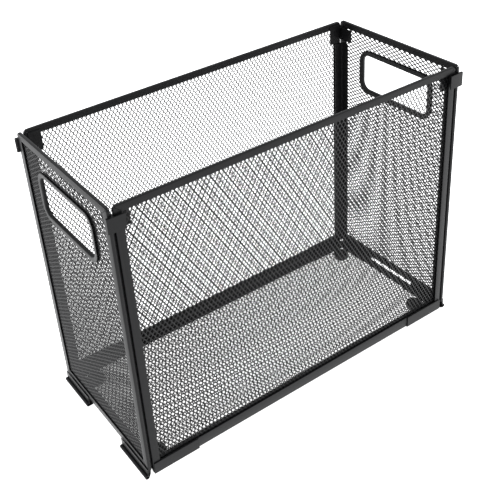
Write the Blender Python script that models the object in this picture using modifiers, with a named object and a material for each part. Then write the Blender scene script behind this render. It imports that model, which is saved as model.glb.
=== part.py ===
"""Hanging file rack: a knock-down desk box of five framed expanded-metal panels.

A flat tray carries the two long walls in folded corner clips. The two end walls,
which have the hand holes and carry the folder rods on their top rails, drop into
beaded clips on the tray and hook round the long walls, and lift straight out.
Units are metres. +X runs along the rack, -Y is its front, Z = 0 is the desk.
"""
import bpy
import bmesh
from math import cos, pi, radians, sin
from mathutils import Matrix, Vector

# Overall sizes
LENGTH = 0.3200          # over the outer faces of the two end walls
WIDTH = 0.1400           # over the outer faces of the two long walls
HEIGHT = 0.2480          # desk to the top of the walls

# Folded rim of every panel
STEEL = 0.0006           # sheet that the channels, gussets and flanges are folded from
MESH_THICK = 0.0010      # expanded metal
FIT = 0.0003             # clearance between pieces that touch
RAIL_WIDTH = 0.0064      # depth of a folded channel, closed edge to lips
TOP_RAIL_WIDTH = 0.0056  # the same for the walls' top rails
LONG_BOTTOM_RAIL = 0.0100  # the same for the long walls' bottom rails, which hide the tray's edge
CORNER_RADIUS = 0.0020   # rounded top corners of the walls
MITRE_GAP = 0.0004       # between two channels at a mitred corner

# Heights of the panels' lower faces above the desk
LONG_WALL_BOTTOM = 0.0036
END_WALL_BOTTOM = 0.0086
TRAY_BOTTOM = 0.0048

# Gaps between the tray's edges and the walls' inner faces
TRAY_END_GAP = 0.0010
TRAY_SIDE_GAP = 0.0012

# Hand holes in the end walls, each with a grooved rim
HANDLE_LENGTH = 0.0780
HANDLE_HEIGHT = 0.0330
HANDLE_DROP = 0.0240     # top of the walls to the top of the hole
HANDLE_RADIUS = 0.0070
RIM_WIDTH = 0.0040
RIM_THICK = 0.0034
RIM_BITE = 0.0018        # how far the mesh reaches into the rim's groove
ROUND_STEPS = 5          # facets in each rounded corner

# Corner hooks of the end walls
HOOK_STEEL = 0.0010
HOOK_CLEARANCE = 0.0004  # each side of the hook where it passes between the walls
HOOK_HEIGHT = 0.0115
HOOK_DROP = 0.0060       # top of the walls to the top of a hook
HOOK_LUG = 0.0020        # how far a hook stands out past the end wall
HOOK_LENGTH = 0.0070     # along the long wall's outer face
HOOK_TONGUE = 0.0160     # along the inner face of the end wall

# Gussets and corner flanges
GUSSET_LENGTH = 0.0105
GUSSET_HEIGHT = 0.0170
GUSSET_INSET = 0.0025    # from the end and the top of the long wall
FLANGE_LEG = 0.0080
FLANGE_BOTTOM = 0.0085
FLANGE_BELOW_HOOK = 0.0030

# Clips on the tray, and the end walls' tabs that stand in them
CLIP_STEEL = 0.0006
CLIP_LENGTH = 0.0410
CLIP_INSET = 0.0005      # clip to the end of the edge that it holds
CLIP_FLAT = 0.0065       # flat under the tray's rail
CLIP_MITRE = 0.0010      # between the flats of two clips at a corner
CLIP_BEND = 0.0008
BEAD_RADIUS = 0.0014     # middle of the sheet
BEAD_CENTRE = 0.0015     # outside the end wall's face
BEAD_HEIGHT = 0.0023     # above the desk
END_LIP_TOP = 0.0106
SIDE_LIP_TOP = 0.0138
LIP_GAP = 0.0003         # lip to wall
TAB_THICK = 0.0012
TAB_LENGTH = 0.0360
TAB_BOTTOM = 0.0022

# Feet
FOOT_RADIUS = 0.0074
FOOT_INSET = 0.0008      # foot to the inner edge of the tray's rail
FOOT_TAPER = 0.0006
FOOT_SIDES = 32

CHANNEL = MESH_THICK + 2 * FIT + 2 * STEEL        # thickness of a panel's rim
CORNER_GAP = HOOK_STEEL + 2 * HOOK_CLEARANCE      # long wall's end to end wall's face
LONG_WALL_LENGTH = LENGTH - 2 * (CHANNEL + CORNER_GAP)
TRAY_LENGTH = LENGTH - 2 * (CHANNEL + TRAY_END_GAP)
TRAY_WIDTH = WIDTH - 2 * (CHANNEL + TRAY_SIDE_GAP)
FLANGE_TOP = HEIGHT - HOOK_DROP - HOOK_HEIGHT - FLANGE_BELOW_HOOK


def clear_scene():
    for old in list(bpy.data.objects):
        bpy.data.objects.remove(old, do_unlink=True)


def new_collection(name):
    collection = bpy.data.collections.new(name)
    bpy.context.scene.collection.children.link(collection)
    return collection


def finish(name, grey, roughness):
    """A sub-part's own material: black powder coat on steel, or rubber."""
    material = bpy.data.materials.new(name)
    material.use_nodes = True
    shader = material.node_tree.nodes["Principled BSDF"]
    shader.inputs["Base Color"].default_value = (grey, grey, grey, 1.0)
    shader.inputs["Roughness"].default_value = roughness
    shader.inputs["Metallic"].default_value = 0.0
    return material


def place(name, location, turn):
    """An empty that carries one panel or clip."""
    holder = bpy.data.objects.new(name + "_place", None)
    holder.location = location
    holder.rotation_euler = turn
    rack.objects.link(holder)
    return holder


def add_object(name, bm, parent, grey=0.03, roughness=0.38, smooth=False):
    """Turns a finished bmesh into a named object with its own material."""
    bmesh.ops.recalc_face_normals(bm, faces=bm.faces)
    mesh = bpy.data.meshes.new(name)
    bm.to_mesh(mesh)
    bm.free()
    if smooth:
        mesh.shade_smooth()
        mesh.set_sharp_from_angle(angle=radians(35))
    mesh.materials.append(finish(name, grey, roughness))
    obj = bpy.data.objects.new(name, mesh)
    rack.objects.link(obj)
    obj.parent = parent
    return obj


def extrude_faces(bm, vec):
    pushed = bmesh.ops.extrude_face_region(bm, geom=bm.faces[:])
    moved = [v for v in pushed["geom"] if isinstance(v, bmesh.types.BMVert)]
    bmesh.ops.translate(bm, vec=vec, verts=moved)


def extrude_line(points, vec):
    """An open sheet: a line of 3-D points pushed along vec."""
    bm = bmesh.new()
    line = [bm.verts.new(point) for point in points]
    edges = [bm.edges.new(pair) for pair in zip(line, line[1:])]
    pushed = bmesh.ops.extrude_edge_only(bm, edges=edges)
    moved = [v for v in pushed["geom"] if isinstance(v, bmesh.types.BMVert)]
    bmesh.ops.translate(bm, vec=vec, verts=moved)
    return bm


def trim(bm, point, normal, close=True):
    """Cuts off everything past a plane, and closes the cut on a solid."""
    geom = bm.verts[:] + bm.edges[:] + bm.faces[:]
    cut = bmesh.ops.bisect_plane(bm, geom=geom, plane_co=point, plane_no=normal, dist=1e-7, clear_outer=True)
    if close:
        rim = [e for e in cut["geom_cut"] if isinstance(e, bmesh.types.BMEdge)]
        bmesh.ops.contextual_create(bm, geom=rim)


def give_thickness(obj, thick):
    """Sheet steel whose middle surface is the mesh."""
    wall = obj.modifiers.new("sheet", "SOLIDIFY")
    wall.thickness = thick
    wall.offset = 0.0
    wall.use_even_offset = True


def box(name, low, high, parent):
    bm = bmesh.new()
    bmesh.ops.create_cube(bm, size=1.0)
    size = Vector(high) - Vector(low)
    centre = (Vector(high) + Vector(low)) / 2
    bmesh.ops.transform(bm, matrix=Matrix.Translation(centre) @ Matrix.Diagonal((*size, 1.0)), verts=bm.verts)
    return add_object(name, bm, parent)


def channel(name, run, depth, meets, parent, turn, shift, rounded):
    """A folded U-channel, mitred at both ends. It is made along X and open downwards,
    then turned about Y. For its -X and +X ends, meets gives the depth of the channel
    that it meets there and rounded says whether the corner is rounded."""
    half = CHANNEL / 2
    slot = half - STEEL
    outline = [(-half, 0), (half, 0), (half, -depth), (slot, -depth), (slot, -STEEL),
               (-slot, -STEEL), (-slot, -depth), (-half, -depth)]
    bm = bmesh.new()
    bm.faces.new([bm.verts.new((-run / 2, y, z)) for y, z in outline])
    extrude_faces(bm, (run, 0, 0))
    for end, is_round, met in zip((-1, 1), rounded, meets):
        tip = Vector((end * run / 2, 0, 0))
        mitre = Vector((end * depth, 0, -met)).normalized()
        trim(bm, tip - mitre * MITRE_GAP / 2, mitre)
        if is_round:
            centre = tip + Vector((-end * CORNER_RADIUS, 0, -CORNER_RADIUS))
            for angle in (22.5, 45, 67.5):
                outward = Vector((end * cos(radians(angle)), 0, sin(radians(angle))))
                trim(bm, centre + outward * CORNER_RADIUS, outward)
    bmesh.ops.rotate(bm, cent=(0, 0, 0), matrix=Matrix.Rotation(turn, 3, "Y"), verts=bm.verts)
    bmesh.ops.translate(bm, vec=shift, verts=bm.verts)
    return add_object(name, bm, parent)


def channels_round(width, height, parent, names, top_depth, bottom_depth, rounded_top):
    """The rim of a panel that stands on X with its lower edge at Z = 0.

    names are the nodes at its top, bottom, -X side and +X side.
    """
    top, bottom, minus, plus = names
    sides = (RAIL_WIDTH, RAIL_WIDTH)
    channel(top, width, top_depth, sides, parent, 0, (0, 0, height), (rounded_top, rounded_top))
    channel(bottom, width, bottom_depth, sides, parent, pi, (0, 0, 0), (False, False))
    channel(minus, height, RAIL_WIDTH, (bottom_depth, top_depth), parent, -pi / 2,
            (-width / 2, 0, height / 2), (False, rounded_top))
    channel(plus, height, RAIL_WIDTH, (top_depth, bottom_depth), parent, pi / 2,
            (width / 2, 0, height / 2), (rounded_top, False))


def mesh_border(width, height):
    """Half width, bottom and top of the mesh that sits in a panel's channels."""
    inset = STEEL + FIT
    return width / 2 - inset, inset, height - inset


def plain_mesh(name, width, height, parent):
    half, low, high = mesh_border(width, height)
    box(name, (-half, -MESH_THICK / 2, low), (half, MESH_THICK / 2, high), parent)


def rounded_rectangle(width, height, radius, centre_z):
    """Its points in the X-Z plane, anticlockwise."""
    points = []
    for sx, sz, start in ((1, 1, 0), (-1, 1, 90), (-1, -1, 180), (1, -1, 270)):
        cx = sx * (width / 2 - radius)
        cz = centre_z + sz * (height / 2 - radius)
        for step in range(ROUND_STEPS + 1):
            angle = radians(start + 90 * step / ROUND_STEPS)
            points.append((cx + radius * cos(angle), cz + radius * sin(angle)))
    return points


def plate_with_hole(outer, inner, thick):
    """A flat plate between two outlines, centred on Y = 0."""
    bm = bmesh.new()
    for outline in (outer, inner):
        ring = [bm.verts.new((x, -thick / 2, z)) for x, z in outline]
        for pair in zip(ring, ring[1:] + ring[:1]):
            bm.edges.new(pair)
    bmesh.ops.triangle_fill(bm, use_beauty=True, edges=bm.edges)
    extrude_faces(bm, (0, thick, 0))
    return bm


def gusset(name, side, height, parent):
    """A plate over the mitre in a long wall's top corner, on the rim's inner face."""
    far = side * (LONG_WALL_LENGTH / 2 - GUSSET_INSET)
    xs = sorted((far, far - side * GUSSET_LENGTH))
    high = height - GUSSET_INSET
    near = CHANNEL / 2 + FIT
    box(name, (xs[0], near, high - GUSSET_HEIGHT), (xs[1], near + STEEL, high), parent)


def corner_flange(name, side, parent):
    """An L of sheet in an inner corner, which closes the gap beside the end wall."""
    along = CHANNEL / 2 + FIT + STEEL / 2
    across = LONG_WALL_LENGTH / 2 + CORNER_GAP - FIT - STEEL / 2
    low = FLANGE_BOTTOM - LONG_WALL_BOTTOM
    bend = [(side * across, along + FLANGE_LEG, low), (side * across, along, low),
            (side * (across - FLANGE_LEG), along, low)]
    flange = add_object(name, extrude_line(bend, (0, 0, FLANGE_TOP - FLANGE_BOTTOM)), parent)
    give_thickness(flange, STEEL)


def long_wall(wall, facing, sides):
    """The front (-1) or back (+1) wall. Its own +Y is its inner side.

    sides are the names of its own -X and +X sides.
    """
    height = HEIGHT - LONG_WALL_BOTTOM
    turn = 0 if facing < 0 else pi
    holder = place(wall, (0, facing * (WIDTH - CHANNEL) / 2, LONG_WALL_BOTTOM), (0, 0, turn))
    names = [wall + "_top_rail", wall + "_bottom_rail"] + ["%s_%s_stile" % (wall, side) for side in sides]
    channels_round(LONG_WALL_LENGTH, height, holder, names, TOP_RAIL_WIDTH, LONG_BOTTOM_RAIL, True)
    plain_mesh(wall + "_mesh", LONG_WALL_LENGTH, height, holder)
    for sign, side in zip((-1, 1), sides):
        gusset("%s_%s_gusset" % (wall, side), sign, height, holder)
        corner_flange("%s_%s_corner_flange" % (wall, side), sign, holder)


def handle(wall, height, parent):
    """The mesh with its hand hole, and the rim whose groove takes the mesh's cut edge."""
    centre_z = height - HANDLE_DROP - HANDLE_HEIGHT / 2

    def grown(amount):
        return rounded_rectangle(HANDLE_LENGTH + 2 * amount, HANDLE_HEIGHT + 2 * amount,
                                 HANDLE_RADIUS + amount, centre_z)

    half, low, high = mesh_border(WIDTH, height)
    border = [(-half, low), (half, low), (half, high), (-half, high)]
    bite = RIM_WIDTH - RIM_BITE
    add_object(wall + "_mesh", plate_with_hole(border, grown(bite), MESH_THICK), parent)
    ring = add_object(wall + "_handle_rim", plate_with_hole(grown(RIM_WIDTH), grown(0), RIM_THICK), parent,
                      smooth=True)
    groove = plate_with_hole(grown(RIM_WIDTH + RIM_BITE), grown(bite - FIT), MESH_THICK + 2 * FIT)
    cutter = add_object(wall + "_rim_groove", groove, parent)
    rack.objects.unlink(cutter)
    cutters.objects.link(cutter)
    cutter.hide_render = True
    cutter.display_type = "WIRE"
    cut = ring.modifiers.new("groove", "BOOLEAN")
    cut.operation = "DIFFERENCE"
    cut.solver = "EXACT"
    cut.object = cutter


def corner_hook(name, side, height, parent):
    """A bent strip: along the end wall's inner face, out through the corner gap, past the
    end wall as a lug, and folded back over the outer face of the long wall."""
    gap_line = CHANNEL / 2 + CORNER_GAP / 2
    lug_line = -CHANNEL / 2 - HOOK_LUG + HOOK_STEEL / 2
    near = WIDTH / 2 + FIT + HOOK_STEEL / 2
    far = near + HOOK_STEEL + FIT
    tip = CHANNEL / 2 + CORNER_GAP + HOOK_LENGTH
    path = [(WIDTH / 2 - HOOK_TONGUE, gap_line), (near, gap_line), (near, lug_line),
            (far, lug_line), (far, tip)]
    low = height - HOOK_DROP - HOOK_HEIGHT
    hook = add_object(name, extrude_line([(side * x, y, low) for x, y in path], (0, 0, HOOK_HEIGHT)), parent)
    give_thickness(hook, HOOK_STEEL)


def tab(name, side, parent):
    """A tongue under the end wall's bottom rail, which stands in a clip of the tray."""
    middle = side * (WIDTH / 2 - CLIP_INSET - CLIP_LENGTH / 2)
    box(name, (middle - TAB_LENGTH / 2, -TAB_THICK / 2, TAB_BOTTOM - END_WALL_BOTTOM),
        (middle + TAB_LENGTH / 2, TAB_THICK / 2, -FIT), parent)


def end_wall(wall, facing, sides):
    """The left (-1) or right (+1) wall, which lifts out. Its own +Y is its inner side.

    sides are the names of its own -X and +X sides.
    """
    height = HEIGHT - END_WALL_BOTTOM
    holder = place(wall, (facing * (LENGTH - CHANNEL) / 2, 0, END_WALL_BOTTOM), (0, 0, facing * pi / 2))
    names = [wall + "_top_rail", wall + "_bottom_rail"] + ["%s_%s_stile" % (wall, side) for side in sides]
    channels_round(WIDTH, height, holder, names, TOP_RAIL_WIDTH, RAIL_WIDTH, True)
    handle(wall, height, holder)
    for sign, side in zip((-1, 1), sides):
        corner_hook("%s_%s_corner_hook" % (wall, side), sign, height, holder)
        tab("%s_%s_tab" % (wall, side), sign, holder)


def tray():
    """The bottom panel, lying flat, its own Z along the rack's +Y."""
    holder = place("tray", (0, -TRAY_WIDTH / 2, TRAY_BOTTOM + CHANNEL / 2), (-pi / 2, 0, 0))
    names = ["tray_back_rail", "tray_front_rail", "tray_left_rail", "tray_right_rail"]
    channels_round(TRAY_LENGTH, TRAY_WIDTH, holder, names, RAIL_WIDTH, RAIL_WIDTH, False)
    plain_mesh("tray_mesh", TRAY_LENGTH, TRAY_WIDTH, holder)


def arc(cx, cz, radius, start, end, steps):
    """Points along an arc, its angles in degrees."""
    angles = [radians(start + (end - start) * step / steps) for step in range(steps + 1)]
    return [(cx + radius * cos(angle), cz + radius * sin(angle)) for angle in angles]


def end_clip_profile(flat):
    """Section of a beaded clip: out of the rack from the end wall's face, and up."""
    tray_edge = -(CHANNEL + TRAY_END_GAP)
    floor = TAB_BOTTOM - FIT - CLIP_STEEL / 2
    lip = LIP_GAP + CLIP_STEEL / 2
    return ([(tray_edge - CLIP_FLAT, flat), (tray_edge, flat), (tray_edge + CLIP_BEND, floor)]
            + arc(BEAD_CENTRE, BEAD_HEIGHT, BEAD_RADIUS, -110, 130, 9)
            + [(lip, BEAD_HEIGHT + BEAD_RADIUS + CLIP_BEND), (lip, END_LIP_TOP)])


def side_clip_profile(flat):
    """Section of a plain clip: out of the rack from the long wall's face, and up."""
    tray_edge = -(CHANNEL + TRAY_SIDE_GAP)
    floor = LONG_WALL_BOTTOM - FIT - CLIP_STEEL / 2
    lip = LIP_GAP + CLIP_STEEL / 2
    return ([(tray_edge - CLIP_FLAT, flat), (tray_edge - CLIP_BEND / 2, flat),
             (tray_edge + CLIP_BEND / 2, floor)]
            + arc(lip - CLIP_BEND, floor + CLIP_BEND, CLIP_BEND, -90, 0, 4) + [(lip, SIDE_LIP_TOP)])


def clip(name, turn, side, profile, face, held_edge, tray_edge, tray_corner):
    """One clip. In its own axes +X points out of the rack and Y runs along the edge.

    face is the wall's outer face and held_edge the end of the edge that the clip
    holds; tray_edge and tray_corner are the tray's half sizes across and along that
    edge, and the clip stops short of the 45 degree line from the tray's corner.
    """
    holder = place(name, (0, 0, 0), (0, 0, turn))
    start = side * (held_edge - CLIP_INSET)
    bm = extrude_line([(face + x, start, z) for x, z in profile], (0, -side * CLIP_LENGTH, 0))
    corner = Vector((tray_edge, side * (tray_corner - CLIP_MITRE / 2), 0))
    trim(bm, corner, Vector((-1, side, 0)).normalized(), close=False)
    give_thickness(add_object(name, bm, holder, smooth=True), CLIP_STEEL)


def clips():
    """Two beaded clips on each end of the tray and two plain ones on each long side."""
    flat = TRAY_BOTTOM - FIT - CLIP_STEEL / 2
    for side in (-1, 1):
        front_or_back = "front" if side < 0 else "back"
        for end, turn in (("left", pi), ("right", 0)):
            clip("%s_%s_end_clip" % (end, front_or_back), turn, side if end == "right" else -side,
                 end_clip_profile(flat), LENGTH / 2, WIDTH / 2, TRAY_LENGTH / 2, TRAY_WIDTH / 2)
        left_or_right = "left" if side < 0 else "right"
        for face, turn in (("front", -pi / 2), ("back", pi / 2)):
            clip("%s_%s_side_clip" % (face, left_or_right), turn, side if face == "front" else -side,
                 side_clip_profile(flat), WIDTH / 2, LONG_WALL_LENGTH / 2, TRAY_WIDTH / 2, TRAY_LENGTH / 2)


def feet():
    """Rubber feet under the mesh, tucked into the corners of the tray's rim."""
    reach = RAIL_WIDTH + FOOT_INSET + FOOT_RADIUS
    rise = TRAY_BOTTOM + STEEL
    for end, left_or_right in ((-1, "left"), (1, "right")):
        for side, front_or_back in ((-1, "front"), (1, "back")):
            bm = bmesh.new()
            bmesh.ops.create_cone(bm, cap_ends=True, segments=FOOT_SIDES, radius1=FOOT_RADIUS - FOOT_TAPER,
                                  radius2=FOOT_RADIUS, depth=rise)
            bmesh.ops.translate(bm, vec=(0, 0, rise / 2), verts=bm.verts)
            name = "%s_%s_foot" % (left_or_right, front_or_back)
            foot = add_object(name, bm, None, 0.02, 0.75, smooth=True)
            foot.location = (end * (TRAY_LENGTH / 2 - reach), side * (TRAY_WIDTH / 2 - reach), 0)


clear_scene()
rack = new_collection("hanging_file_rack")
cutters = new_collection("cutters")
tray()
feet()
clips()
long_wall("front_wall", -1, ("left", "right"))
long_wall("back_wall", 1, ("right", "left"))
end_wall("left_end", -1, ("back", "front"))
end_wall("right_end", 1, ("front", "back"))
bpy.context.view_layer.update()
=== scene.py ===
"""Hanging file rack: looks of the five framed expanded-metal panels and their fittings."""
import bpy
import bmesh
from math import cos, pi, radians, sin
from mathutils import Matrix, Vector


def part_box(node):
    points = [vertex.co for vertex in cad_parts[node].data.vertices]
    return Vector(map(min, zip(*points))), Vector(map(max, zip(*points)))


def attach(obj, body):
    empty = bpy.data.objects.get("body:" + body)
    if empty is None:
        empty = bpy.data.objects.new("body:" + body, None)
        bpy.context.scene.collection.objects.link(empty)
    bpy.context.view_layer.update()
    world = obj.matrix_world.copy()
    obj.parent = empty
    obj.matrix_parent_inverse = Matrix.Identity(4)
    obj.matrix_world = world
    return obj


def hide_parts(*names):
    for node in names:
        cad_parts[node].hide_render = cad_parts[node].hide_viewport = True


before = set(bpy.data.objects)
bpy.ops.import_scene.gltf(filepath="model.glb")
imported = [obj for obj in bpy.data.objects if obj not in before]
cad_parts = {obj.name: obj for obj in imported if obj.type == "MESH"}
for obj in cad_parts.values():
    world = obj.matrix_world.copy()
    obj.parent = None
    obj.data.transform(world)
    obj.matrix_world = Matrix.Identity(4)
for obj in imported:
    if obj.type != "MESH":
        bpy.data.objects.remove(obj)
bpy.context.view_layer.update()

# Camera: a long lens above the left front corner, looking down into the open top. Its frame is
# shifted down and a little sideways, which sets how far the upright edges converge.
AZIMUTH = radians(-32.70)
ELEVATION = radians(30.72)
ROLL = radians(-4.56)
DISTANCE = 0.7448
AIM_OFF = (-0.0206, 0.0468)
FOCUS_HEIGHT = 0.1256
LENS = 63.97
SHIFT = (0.05, -0.15)
focus = Vector((0, 0, FOCUS_HEIGHT))
turn = Matrix.Rotation(AZIMUTH, 4, "Z") @ Matrix.Rotation(pi / 2 - ELEVATION, 4, "X")
eye = focus + turn.to_3x3() @ Vector((*AIM_OFF, DISTANCE))
camera = bpy.data.objects.new("camera", bpy.data.cameras.new("camera"))
camera.matrix_world = Matrix.Translation(eye) @ turn @ Matrix.Rotation(ROLL, 4, "Z")
camera.data.lens = LENS
camera.data.shift_x, camera.data.shift_y = SHIFT
bpy.context.scene.collection.objects.link(camera)
bpy.context.scene.camera = camera

# Studio: a seamless white table top, soft panels to the left, to the right and high above,
# and an even white surround that the satin coat mirrors faintly.
TABLE_REACH = 6.0


def from_hex(code):
    """An sRGB hex colour as linear red, green, blue and alpha."""
    parts = [int(code[i:i + 2], 16) / 255 for i in (1, 3, 5)]
    return [c / 12.92 if c <= 0.04045 else ((c + 0.055) / 1.055) ** 2.4 for c in parts] + [1.0]


def add_node(tree, kind, settings, links):
    """Adds a node. settings are its properties and input values, links its inputs' sources."""
    made = tree.nodes.new(kind)
    for key, value in settings.items():
        if isinstance(key, int) or key in made.inputs:
            made.inputs[key].default_value = value
        else:
            setattr(made, key, value)
    for key, source in links.items():
        tree.links.new(source, made.inputs[key])
    return made


def soft_panel(name, place, size, power):
    """A square area light that faces the middle of the rack."""
    light = bpy.data.lights.new(name, "AREA")
    light.size = size
    light.energy = power
    lamp = bpy.data.objects.new(name, light)
    lamp.location = place
    lamp.rotation_euler = (Vector(place) - focus).to_track_quat("Z", "Y").to_euler()
    bpy.context.scene.collection.objects.link(lamp)


soft_panel("left_panel", (-1.6, -0.5, 1.1), 1.2, 9)
soft_panel("right_panel", (1.7, -1.5, 1.0), 0.9, 9)
soft_panel("top_panel", (0.2, 0.6, 2.2), 1.6, 9)
surround = bpy.data.worlds.new("white_surround")
surround.use_nodes = True
surround.node_tree.nodes["Background"].inputs["Color"].default_value = from_hex("#f4f6f8")
surround.node_tree.nodes["Background"].inputs["Strength"].default_value = 1.0
bpy.context.scene.world = surround
bpy.context.scene.view_settings.view_transform = "Standard"

table_paint = bpy.data.materials.new("matt_white_laminate")
table_paint.use_nodes = True
table_tree = table_paint.node_tree
table_shader = table_tree.nodes["Principled BSDF"]
table_shader.inputs["Roughness"].default_value = 0.6
table_shader.inputs["Emission Color"].default_value = from_hex("#ffffff")
table_shader.inputs["Emission Strength"].default_value = 1.0
table_place = add_node(table_tree, "ShaderNodeTexCoord", {}, {})
table_mottle = add_node(table_tree, "ShaderNodeTexNoise", {"Scale": 6.0, "Detail": 3.0},
                        {"Vector": table_place.outputs["Object"]})
table_tone = add_node(table_tree, "ShaderNodeMix",
                      {"data_type": "RGBA", 6: from_hex("#f3f3f3"), 7: from_hex("#f7f7f7")},
                      {0: table_mottle.outputs["Fac"]})
table_tree.links.new(table_tone.outputs[2], table_shader.inputs["Base Color"])
table_mesh = bpy.data.meshes.new("table_top")
bm = bmesh.new()
bmesh.ops.create_grid(bm, x_segments=1, y_segments=1, size=TABLE_REACH)
bm.to_mesh(table_mesh)
bm.free()
table_mesh.materials.append(table_paint)
table_top = bpy.data.objects.new("table_top", table_mesh)
bpy.context.scene.collection.objects.link(table_top)

# Folded rims: each panel is held on four sides by a strip of 0.6 mm steel folded to a U,
# mitred and welded at the corners, then powder coated satin black with the whole panel.
# The coat flows out to a faint orange peel about a millimetre across.
STEEL = 0.0006
BEND = 0.0008
CORNER = 0.0034
CORNER_CUTS = 4
MITRE_GAP = 0.0003
SHARP_FROM = radians(34)
PEEL_PER_METRE = 900.0
GRIT_PER_METRE = 4500.0
DRIFT_PER_METRE = 22.0
UP = Vector((0, 0, 1))
X = Vector((1, 0, 0))
Y = Vector((0, 1, 0))


def powder_coat(name, colour, peel, gloss):
    """Satin powder coat: orange peel of that strength, and a fine speckle in the gloss."""
    paint = bpy.data.materials.new(name)
    paint.use_nodes = True
    tree = paint.node_tree
    shader = tree.nodes["Principled BSDF"]
    place = add_node(tree, "ShaderNodeTexCoord", {}, {}).outputs["Object"]
    flow = add_node(tree, "ShaderNodeTexNoise",
                    {"Scale": PEEL_PER_METRE, "Detail": 2.0, "Roughness": 0.5}, {"Vector": place})
    grit = add_node(tree, "ShaderNodeTexNoise", {"Scale": GRIT_PER_METRE, "Detail": 2.0},
                    {"Vector": place})
    drift = add_node(tree, "ShaderNodeTexNoise", {"Scale": DRIFT_PER_METRE, "Detail": 3.0},
                     {"Vector": place})
    deep = from_hex(colour)
    pale = [c * 1.35 for c in deep[:3]] + [1.0]
    tone = add_node(tree, "ShaderNodeMix", {"data_type": "RGBA", 6: deep, 7: pale},
                    {0: drift.outputs["Fac"]})
    satin = add_node(tree, "ShaderNodeMapRange", {"To Min": gloss - 0.05, "To Max": gloss + 0.07},
                     {"Value": grit.outputs["Fac"]})
    skin = add_node(tree, "ShaderNodeBump", {"Strength": peel, "Distance": 0.00006},
                    {"Height": flow.outputs["Fac"]})
    tree.links.new(tone.outputs[2], shader.inputs["Base Color"])
    tree.links.new(satin.outputs["Result"], shader.inputs["Roughness"])
    tree.links.new(skin.outputs["Normal"], shader.inputs["Normal"])
    shader.inputs["IOR"].default_value = 1.5
    shader.inputs["Specular IOR Level"].default_value = 0.17
    return paint


def finish(name, bm, material, body):
    """Makes a piece of a finished bmesh, in place, and hands it to the frame."""
    mesh = bpy.data.meshes.new(name)
    bm.to_mesh(mesh)
    bm.free()
    mesh.shade_smooth()
    mesh.set_sharp_from_angle(angle=SHARP_FROM)
    mesh.materials.append(material)
    piece = bpy.data.objects.new(name, mesh)
    bpy.context.scene.collection.objects.link(piece)
    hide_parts(name)
    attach(piece, body)


def node_box(name):
    """A CAD node's lowest and highest corners."""
    low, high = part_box(name)
    return Vector(low), Vector(high)


def verts_in(geom):
    """The vertices among the results of an operator."""
    return [v for v in geom if isinstance(v, bmesh.types.BMVert)]


def bevel(bm, edges, offset, segments, clamp=True):
    """Rounds edges off, and gives the new faces."""
    return bmesh.ops.bevel(bm, geom=edges, offset=offset, offset_type="OFFSET",
                           segments=segments, profile=0.5, affect="EDGES", material=-1,
                           clamp_overlap=clamp)["faces"]


def trim(bm, point, normal, close):
    """Cuts off what lies past a plane, and closes the cut if asked."""
    geom = bm.verts[:] + bm.edges[:] + bm.faces[:]
    cut = bmesh.ops.bisect_plane(bm, geom=geom, plane_co=point, plane_no=normal, dist=1e-7,
                                 clear_outer=True)
    if close:
        rim = [e for e in cut["geom_cut"] if isinstance(e, bmesh.types.BMEdge)]
        bmesh.ops.contextual_create(bm, geom=rim)


def boxed(nodes):
    """The box round several CAD nodes."""
    boxes = [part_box(node) for node in nodes]
    low = Vector([min(b[0][i] for b in boxes) for i in range(3)])
    high = Vector([max(b[1][i] for b in boxes) for i in range(3)])
    return low, high


def folded_channel(name, panel, sides, normal, rounded, body):
    """One side of a rim. sides gives the way out of the panel for each of its four channels,
    normal is across the panel, and rounded says which ends, minus and plus, are rounded. A
    channel takes the half of a round corner that is on its own side of the mitre."""
    low, high = panel
    outward = sides[name]
    run = normal.cross(outward)
    size = high - low
    length = abs(size.dot(run))
    thick = abs(size.dot(normal))
    depths = {}
    for side, way in sides.items():
        side_low, side_high = node_box(side)
        depths[side] = abs((side_high - side_low).dot(way))
    depth = depths[name]
    bm = bmesh.new()
    bmesh.ops.create_cube(bm, size=1.0)
    bar = Matrix.Translation((0, 0, -depth / 2)) @ Matrix.Diagonal((length, thick, depth, 1))
    bmesh.ops.transform(bm, matrix=bar, verts=bm.verts)
    for end, is_round in zip((-1, 1), rounded):
        met = next(depths[side] for side, way in sides.items() if way.dot(run) * end > 0.5)
        mitre = Vector((end * depth, 0, -met)).normalized()
        trim(bm, Vector((end * length / 2, 0, 0)) - mitre * MITRE_GAP / 2, mitre, True)
        centre = Vector((end * (length / 2 - CORNER), 0, -CORNER))
        for step in range(CORNER_CUTS if is_round else 0):
            angle = radians(45 + 45 * (step + 0.5) / CORNER_CUTS)
            tangent = Vector((end * cos(angle), 0, sin(angle)))
            trim(bm, centre + tangent * CORNER, tangent, True)
    bm.normal_update()
    open_sides = [f for f in bm.faces if f.normal.z < -0.5]
    bmesh.ops.delete(bm, geom=open_sides, context="FACES")
    folds = [e for e in bm.edges if len(e.link_faces) == 2
             and abs(abs(e.link_faces[0].normal.y) - abs(e.link_faces[1].normal.y)) > 0.5]
    bevel(bm, folds, BEND, 3)
    bmesh.ops.solidify(bm, geom=bm.faces[:], thickness=STEEL)
    bmesh.ops.recalc_face_normals(bm, faces=bm.faces)
    axes = Matrix((run, normal, outward)).transposed().to_4x4()
    middle = (low + high) / 2 + outward * abs(size.dot(outward)) / 2
    bmesh.ops.transform(bm, matrix=Matrix.Translation(middle) @ axes, verts=bm.verts)
    finish(name, bm, rim_coat, body)


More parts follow.
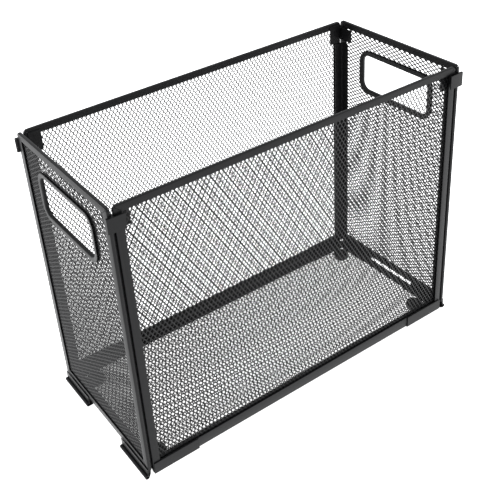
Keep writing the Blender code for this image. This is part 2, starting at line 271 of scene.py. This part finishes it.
rim_coat = powder_coat("satin_powder_coat_on_folded_steel", "#0f0f10", 0.35, 0.36)
WALLS = {"front_wall": ("base", Y), "back_wall": ("base", Y),
         "left_end": ("left_end", X), "right_end": ("right_end", X)}
panels = {}
for wall, (body, normal) in WALLS.items():
    minus, plus = ("left", "right") if normal == Y else ("front", "back")
    sides = {wall + "_top_rail": UP, wall + "_bottom_rail": -UP}
    sides["%s_%s_stile" % (wall, minus)] = -X if normal == Y else -Y
    sides["%s_%s_stile" % (wall, plus)] = X if normal == Y else Y
    panels[wall] = boxed(sides)
    for name, outward in sides.items():
        run = normal.cross(outward)
        if outward == UP:
            rounded = (True, True)
        else:
            rounded = (run.z < 0, run.z > 0)
        folded_channel(name, panels[wall], sides, normal, rounded, body)
tray_sides = {"tray_left_rail": -X, "tray_right_rail": X,
              "tray_front_rail": -Y, "tray_back_rail": Y}
panels["tray"] = boxed(tray_sides)
for name in tray_sides:
    folded_channel(name, panels["tray"], tray_sides, UP, (False, False), "base")

# Expanded metal: steel sheet slit and drawn into diamonds, each closed by a short knuckle.
# The strands lie a little aslant, as the drawing leaves them, and the cut edges go into the
# folded rims. The long way of the diamonds runs across the shorter side of each sheet.
LONG_WAY = 0.0061
SHORT_WAY = 0.0036
STRAND = 0.00068
KNUCKLE = 0.0008
STRAND_THICK = 0.0003
SLANT = 0.00022
KNUCKLE_SIDE = 0.3
KNUCKLE_SWELL = 0.25
HIDDEN = 0.0030


def diamonds(width, height):
    """Flat strands in the X-Y plane with the diamonds' long way on Y, cut to width and height.
    A hole's corners past KNUCKLE_SIDE of its half width are at a knuckle, and draw in by
    KNUCKLE_SWELL of a strand, so that the knuckle is wider than the strands."""
    half_x = SHORT_WAY / 2
    half_y = (LONG_WAY - KNUCKLE) / 2
    knuckle = KNUCKLE / 2
    corners = [(half_x, knuckle), (0, half_y), (-half_x, knuckle),
               (-half_x, -knuckle), (0, -half_y), (half_x, -knuckle)]
    bm = bmesh.new()
    bm.faces.new([bm.verts.new((x, y, 0)) for x, y in corners])
    columns = int(width / SHORT_WAY) + 3
    rows = int(height / LONG_WAY) + 3
    repeats = [((SHORT_WAY, 0, 0), columns), ((SHORT_WAY / 2, LONG_WAY / 2, 0), 2),
               ((0, LONG_WAY, 0), rows)]
    for step, count in repeats:
        first = bm.verts[:] + bm.edges[:] + bm.faces[:]
        for copy in range(1, count):
            made = bmesh.ops.duplicate(bm, geom=first)["geom"]
            bmesh.ops.translate(bm, vec=Vector(step) * copy, verts=verts_in(made))
    bmesh.ops.remove_doubles(bm, verts=bm.verts, dist=SHORT_WAY / 100)
    centre = Vector(((columns - 0.5) * SHORT_WAY / 2, (rows - 0.5) * LONG_WAY / 2, 0))
    bmesh.ops.translate(bm, vec=-centre, verts=bm.verts)
    strands = set(bevel(bm, bm.edges[:], STRAND / 2, 1, clamp=False))
    holes = [f for f in bm.faces if f not in strands]
    for hole in holes:
        middle = hole.calc_center_median()
        for corner in hole.verts:
            side = (corner.co.x - middle.x) / half_x
            corner.co.z = SLANT * side
            if abs(side) > KNUCKLE_SIDE:
                corner.co.x -= STRAND * KNUCKLE_SWELL * (1 if side > 0 else -1)
    bmesh.ops.delete(bm, geom=holes, context="FACES")
    for x, y in ((width / 2, 0), (-width / 2, 0), (0, height / 2), (0, -height / 2)):
        trim(bm, Vector((x, y, 0)), Vector((x, y, 0)).normalized(), False)
    return bm


def thicken(bm):
    """Gives the flat strands their thickness, half to each side."""
    bmesh.ops.translate(bm, vec=(0, 0, -STRAND_THICK / 2), verts=bm.verts)
    pushed = bmesh.ops.extrude_face_region(bm, geom=bm.faces[:])["geom"]
    bmesh.ops.translate(bm, vec=(0, 0, STRAND_THICK), verts=verts_in(pushed))
    bmesh.ops.recalc_face_normals(bm, faces=bm.faces)


def sheet_place(panel, across, along):
    """The matrix that puts a sheet made flat in a panel, its X on across, its Y on along."""
    low, high = panel
    axes = Matrix((across, along, across.cross(along))).transposed().to_4x4()
    return Matrix.Translation((low + high) / 2) @ axes


mesh_coat = powder_coat("satin_powder_coat_on_expanded_metal", "#0f0f10", 0.2, 0.38)
for name, across, along in (("front_wall", X, UP), ("back_wall", -X, UP), ("tray", X, Y)):
    size = panels[name][1] - panels[name][0]
    bm = diamonds(abs(size.dot(across)) - 2 * HIDDEN, abs(size.dot(along)) - 2 * HIDDEN)
    thicken(bm)
    bmesh.ops.transform(bm, matrix=sheet_place(panels[name], across, along), verts=bm.verts)
    finish(name + "_mesh", bm, mesh_coat, "base")

# End walls' mesh and hand holes: the sheet is cut to a rounded slot, and a strip folded to
# a U is pressed over the cut edge so that it doesn't bite the hand.
RIM_RADIUS = 0.0110
RIM_WIDTH = 0.0040
RIM_BEND = 0.0011
RIM_GROOVE = 0.0016
RIM_STEPS = 7


def slot_outline(width, height, radius, steps):
    """A rounded rectangle's points, anticlockwise, about its own middle."""
    points = []
    for side_x, side_y, start in ((1, 1, 0), (-1, 1, 90), (-1, -1, 180), (1, -1, 270)):
        for step in range(steps + 1):
            angle = radians(start + 90 * step / steps)
            points.append(Vector((side_x * (width / 2 - radius) + radius * cos(angle),
                                  side_y * (height / 2 - radius) + radius * sin(angle), 0)))
    return points


def cut_slot(bm, outline):
    """Cuts a convex outline out of a flat sheet of strands."""
    middle = sum(outline, Vector()) / len(outline)
    reach = max((p - middle).length for p in outline)
    sides = []
    for near, far in zip(outline, outline[1:] + outline[:1]):
        if (far - near).length > 1e-6:
            sides.append((near, Vector((far.y - near.y, near.x - far.x, 0)).normalized()))
    for point, normal in sides:
        close = [f for f in bm.faces if (f.calc_center_median() - middle).length < reach + LONG_WAY
                 and abs((f.calc_center_median() - point).dot(normal)) < LONG_WAY]
        geom = [*dict.fromkeys(v for f in close for v in f.verts),
                *dict.fromkeys(e for f in close for e in f.edges), *close]
        bmesh.ops.bisect_plane(bm, geom=geom, plane_co=point, plane_no=normal, dist=1e-7)
    inside = [f for f in bm.faces
              if all((f.calc_center_median() - p).dot(n) < 0 for p, n in sides)]
    bmesh.ops.delete(bm, geom=inside, context="FACES")


slot_coat = powder_coat("satin_powder_coat_on_pressed_rim", "#0f0f10", 0.3, 0.36)
for wall, across in (("left_end", -UP), ("right_end", UP)):
    low, high = panels[wall]
    rim_low, rim_high = node_box(wall + "_handle_rim")
    rim_mid = (rim_low + rim_high) / 2
    place = sheet_place(panels[wall], across, Y)
    bm = diamonds(high.z - low.z - 2 * HIDDEN, high.y - low.y - 2 * HIDDEN)
    outer = rim_high - rim_low
    local = place.inverted() @ rim_mid
    hole = slot_outline(outer.z - RIM_GROOVE * 2, outer.y - RIM_GROOVE * 2,
                        RIM_RADIUS - RIM_GROOVE, RIM_STEPS)
    edge = [p + local for p in hole]
    for p in edge:
        p.z = 0
    cut_slot(bm, edge)
    thicken(bm)
    bmesh.ops.transform(bm, matrix=place, verts=bm.verts)
    finish(wall + "_mesh", bm, mesh_coat, wall)

    bm = bmesh.new()
    loops = []
    for grown, level in ((RIM_WIDTH, -1), (0, -1), (0, 1), (RIM_WIDTH, 1)):
        inset = RIM_WIDTH - grown
        points = slot_outline(outer.z - 2 * inset, outer.y - 2 * inset, RIM_RADIUS - inset,
                              RIM_STEPS)
        ring = [bm.verts.new(p + Vector((0, 0, level * outer.x / 2))) for p in points]
        loops.append([bm.edges.new(pair) for pair in zip(ring, ring[1:] + ring[:1])])
    for near, far in zip(loops, loops[1:]):
        bmesh.ops.bridge_loops(bm, edges=near + far)
    bevel(bm, loops[1] + loops[2], RIM_BEND, 4)
    bmesh.ops.recalc_face_normals(bm, faces=bm.faces)
    bmesh.ops.solidify(bm, geom=bm.faces[:], thickness=STEEL)
    bmesh.ops.recalc_face_normals(bm, faces=bm.faces)
    rim_place = Matrix.Translation(rim_mid) @ place.to_3x3().to_4x4()
    bmesh.ops.transform(bm, matrix=rim_place, verts=bm.verts)
    finish(wall + "_handle_rim", bm, slot_coat, wall)

# Gussets: small plates spot-welded over the mitres inside the long walls' top corners,
# which keep them square. Their edges are sheared and rounded over by the coat.
SPOT = 0.0011
SPOT_RISE = 0.22
PLATE_CORNER = 0.0009
SHEARED_EDGE = 0.00012


def plate(name, body, normal, material, spots):
    """A sheared plate the size of its CAD node, with weld spots pressed into one face."""
    low, high = node_box(name)
    size = high - low
    across = normal.cross(UP)
    width, thick, height = abs(size.dot(across)), abs(size.dot(normal)), size.z
    bm = bmesh.new()
    bmesh.ops.create_cube(bm, size=1.0)
    bmesh.ops.scale(bm, vec=(width, thick, height), verts=bm.verts)
    corners = [e for e in bm.edges if abs(e.verts[0].co.y - e.verts[1].co.y) > thick / 2]
    bevel(bm, corners, PLATE_CORNER, 3)
    bevel(bm, bm.edges[:], SHEARED_EDGE, 1)
    for x, z in spots:
        made = bmesh.ops.create_uvsphere(bm, u_segments=16, v_segments=8, radius=SPOT)["verts"]
        bmesh.ops.scale(bm, vec=(1, SPOT_RISE, 1), verts=made)
        bmesh.ops.translate(bm, vec=(x * width, thick / 2, z * height), verts=made)
    axes = Matrix((across, normal, UP)).transposed().to_4x4()
    bmesh.ops.transform(bm, matrix=Matrix.Translation((low + high) / 2) @ axes, verts=bm.verts)
    bmesh.ops.recalc_face_normals(bm, faces=bm.faces)
    finish(name, bm, material, body)


fitting_coat = powder_coat("satin_powder_coat_on_sheared_fittings", "#0e0e0f", 0.35, 0.38)
for wall, inward in (("front_wall", Y), ("back_wall", -Y)):
    for side in ("left", "right"):
        plate("%s_%s_gusset" % (wall, side), "base", inward, fitting_coat,
              ((0, 0.27), (0, -0.27)))

# Corner flanges: a strip bent to an L and welded inside each upright corner of the long
# walls, which covers the slot between long wall and end wall below the hooks.
STRIP_BEND = 0.0009


def swept(points, way):
    """An open line of points, drawn straight out to a thin sheet."""
    bm = bmesh.new()
    line = [bm.verts.new(p) for p in points]
    edges = [bm.edges.new(pair) for pair in zip(line, line[1:])]
    pushed = bmesh.ops.extrude_edge_only(bm, edges=edges)["geom"]
    bmesh.ops.translate(bm, vec=way, verts=verts_in(pushed))
    return bm


def give_thickness(bm, thick):
    """Gives a bent sheet its thickness, half to each side."""
    bmesh.ops.recalc_face_normals(bm, faces=bm.faces)
    bm.normal_update()
    for v in bm.verts:
        v.co += v.normal * thick / 2
    bmesh.ops.solidify(bm, geom=bm.faces[:], thickness=thick)
    bmesh.ops.recalc_face_normals(bm, faces=bm.faces)


def bent_strip(name, path, thick, bend, body):
    """A strip as high as its CAD node, bent along a path seen from above."""
    low, high = node_box(name)
    bm = swept([(x, y, low.z) for x, y in path], UP * (high.z - low.z))
    bevel(bm, [e for e in bm.edges if len(e.link_faces) == 2], bend, 4)
    give_thickness(bm, thick)
    finish(name, bm, fitting_coat, body)


def near_and_far(low, high):
    """How near to the middle of the rack, and how far from it, a span reaches."""
    return sorted((abs(low), abs(high)))


for wall, side_y in (("front_wall", -1), ("back_wall", 1)):
    for end, side_x in (("left", -1), ("right", 1)):
        name = "%s_%s_corner_flange" % (wall, end)
        low, high = node_box(name)
        near_x, far_x = near_and_far(low.x, high.x)
        near_y, far_y = near_and_far(low.y, high.y)
        bend_x = side_x * (far_x - STEEL / 2)
        bend_y = side_y * (far_y - STEEL / 2)
        path = [(bend_x, side_y * near_y), (bend_x, bend_y), (side_x * near_x, bend_y)]
        bent_strip(name, path, STEEL, STRIP_BEND, "base")

# Corner hooks: a 1 mm strip welded inside each end wall's top corner. It passes out between
# the two walls, stands out past the end wall as a lug, and folds back over the long wall.
HOOK_STEEL = 0.0010
HOOK_BEND = 0.0006
CLEAR = 0.0003
for end, side_x in (("left", -1), ("right", 1)):
    for wall, side_y in (("front", -1), ("back", 1)):
        name = "%s_end_%s_corner_hook" % (end, wall)
        low, high = node_box(name)
        long_low, long_high = node_box("%s_wall_%s_stile" % (wall, end))
        end_low, end_high = node_box("%s_end_%s_stile" % (end, wall))
        near_x, far_x = near_and_far(low.x, high.x)
        near_y, far_y = near_and_far(low.y, high.y)
        long_outer = near_and_far(long_low.x, long_high.x)[1]
        end_inner = near_and_far(end_low.x, end_high.x)[0]
        gap = side_x * (long_outer + end_inner) / 2
        lug = side_x * (far_x - HOOK_STEEL / 2)
        far = side_y * (far_y - HOOK_STEEL / 2)
        near = far - side_y * (HOOK_STEEL + CLEAR)
        path = [(gap, side_y * near_y), (gap, near), (lug, near), (lug, far),
                (side_x * near_x, far)]
        bent_strip(name, path, HOOK_STEEL, HOOK_BEND, end + "_end")

# Tabs: two flat tongues of sheet steel welded under each end wall's bottom rail. They stand
# in the beads of the tray's end clips when the wall is down.
for end, normal in (("left", X), ("right", -X)):
    for side in ("front", "back"):
        plate("%s_end_%s_tab" % (end, side), end + "_end", normal, fitting_coat,
              ())

# Clips: 0.6 mm spring steel pressed to a section and spot-welded under the tray's corners.
# Those on the ends have a bead that the end wall's tab drops into and a lip outside the
# wall. Those on the long sides are plain, and hold the long walls for good.
CLIP_STEEL = 0.0006
CLIP_FLAT = 0.0065
CLIP_MITRE = 0.0010
BEAD_RADIUS = 0.0014
BEAD_CENTRE = 0.0015
BEAD_HEIGHT = 0.0023
BEAD_ARC = (-100, 130, 16)
LIP = 0.0006
# Where a section steps down off the tray's edge, and where it reaches the floor after it.
END_STEP = ((-0.0001, 0.0), (0.0004, -0.0005))
END_RAMP = ((0.0008, 0.0007), (0.0016, 0.0001))
END_LIP_BEND = 0.0006
END_LIP_RISE = 0.0008
SIDE_STEP = ((-0.0004, 0.0), (0.0002, -0.0005))
SIDE_RAMP = ((0.0008, 0.0001),)
SIDE_LIP_BEND = 0.0009
clip_coat = powder_coat("satin_powder_coat_on_pressed_clips", "#0e0e0f", 0.3, 0.33)


def arc(cx, cz, radius, start, end, steps):
    """Points along an arc, its angles in degrees."""
    angles = [radians(start + (end - start) * step / steps) for step in range(steps + 1)]
    return [(cx + radius * cos(angle), cz + radius * sin(angle)) for angle in angles]


def pressed_clip(name, outward, section, face, tray_edge, tray_corner):
    """A clip along one edge of the tray. section runs outward from the wall's outer face."""
    low, high = node_box(name)
    along = UP.cross(outward)
    ends = sorted((low.dot(along), high.dot(along)))
    line = [outward * (face + x) + along * ends[0] + UP * z for x, z in section]
    bm = swept(line, along * (ends[1] - ends[0]))
    side = 1 if ends[0] + ends[1] > 0 else -1
    corner = outward * tray_edge + along * side * (tray_corner - CLIP_MITRE / 2)
    trim(bm, corner, (along * side - outward).normalized(), False)
    give_thickness(bm, CLIP_STEEL)
    finish(name, bm, clip_coat, "base")


def under_tray(edge, step, ramp, floor):
    """A section's inner part: flat under the tray, then down past the tray's edge to a floor."""
    return ([(edge - CLIP_FLAT, flat)] + [(edge + x, flat + z) for x, z in step]
            + [(edge + x, floor + z) for x, z in ramp])


tray_low, tray_high = panels["tray"]
flat = tray_low.z - CLEAR - CLIP_STEEL / 2
end_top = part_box("left_front_end_clip")[1][2]
side_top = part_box("front_left_side_clip")[1][2]
end_face = panels["right_end"][1].x
side_face = panels["back_wall"][1].y
bead_floor = BEAD_HEIGHT - BEAD_RADIUS
side_floor = panels["back_wall"][0].z - CLEAR - CLIP_STEEL / 2
end_section = (under_tray(tray_high.x - end_face, END_STEP, END_RAMP, bead_floor)
               + arc(BEAD_CENTRE, BEAD_HEIGHT, BEAD_RADIUS, *BEAD_ARC)
               + arc(LIP - END_LIP_BEND, BEAD_HEIGHT + BEAD_RADIUS + END_LIP_RISE,
                     END_LIP_BEND, -50, 0, 3)
               + [(LIP, end_top)])
side_section = (under_tray(tray_high.y - side_face, SIDE_STEP, SIDE_RAMP, side_floor)
                + arc(LIP - SIDE_LIP_BEND, side_floor + SIDE_LIP_BEND, SIDE_LIP_BEND, -90, 0, 6)
                + [(LIP, side_top)])
for end, outward in (("left", -X), ("right", X)):
    for side in ("front", "back"):
        pressed_clip("%s_%s_end_clip" % (end, side), outward, end_section, end_face,
                     tray_high.x, tray_high.y)
for wall, outward in (("front", -Y), ("back", Y)):
    for side in ("left", "right"):
        pressed_clip("%s_%s_side_clip" % (wall, side), outward, side_section, side_face,
                     tray_high.y, tray_high.x)

# Feet: round black rubber buttons stuck under the tray's mesh, inside the rim's corners,
# with a slight taper and a soft edge. Moulded rubber is matt and a little dusty.
FOOT_TAPER = 0.0006
FOOT_EDGE = 0.0006
rubber = bpy.data.materials.new("moulded_black_rubber")
rubber.use_nodes = True
rubber_tree = rubber.node_tree
rubber_shader = rubber_tree.nodes["Principled BSDF"]
rubber_place = add_node(rubber_tree, "ShaderNodeTexCoord", {}, {}).outputs["Object"]
rubber_grain = add_node(rubber_tree, "ShaderNodeTexNoise", {"Scale": 2500.0, "Detail": 3.0},
                        {"Vector": rubber_place})
rubber_dust = add_node(rubber_tree, "ShaderNodeTexNoise", {"Scale": 180.0, "Detail": 4.0},
                       {"Vector": rubber_place})
rubber_tone = add_node(rubber_tree, "ShaderNodeMix",
                       {"data_type": "RGBA", 6: from_hex("#121212"), 7: from_hex("#1e1d1c")},
                       {0: rubber_dust.outputs["Fac"]})
rubber_skin = add_node(rubber_tree, "ShaderNodeBump", {"Strength": 0.4, "Distance": 0.00005},
                       {"Height": rubber_grain.outputs["Fac"]})
rubber_tree.links.new(rubber_tone.outputs[2], rubber_shader.inputs["Base Color"])
rubber_tree.links.new(rubber_skin.outputs["Normal"], rubber_shader.inputs["Normal"])
rubber_shader.inputs["Roughness"].default_value = 0.78
rubber_shader.inputs["IOR"].default_value = 1.52
for end in ("left", "right"):
    for side in ("front", "back"):
        name = "%s_%s_foot" % (end, side)
        low, high = node_box(name)
        size = high - low
        bm = bmesh.new()
        bmesh.ops.create_cone(bm, cap_ends=True, segments=48, radius1=size.x / 2 - FOOT_TAPER,
                              radius2=size.x / 2, depth=size.z)
        rims = [e for e in bm.edges if abs(e.verts[0].co.z - e.verts[1].co.z) < 1e-6]
        bevel(bm, rims, FOOT_EDGE, 4)
        bmesh.ops.translate(bm, vec=(low + high) / 2, verts=bm.verts)
        finish(name, bm, rubber, "base")
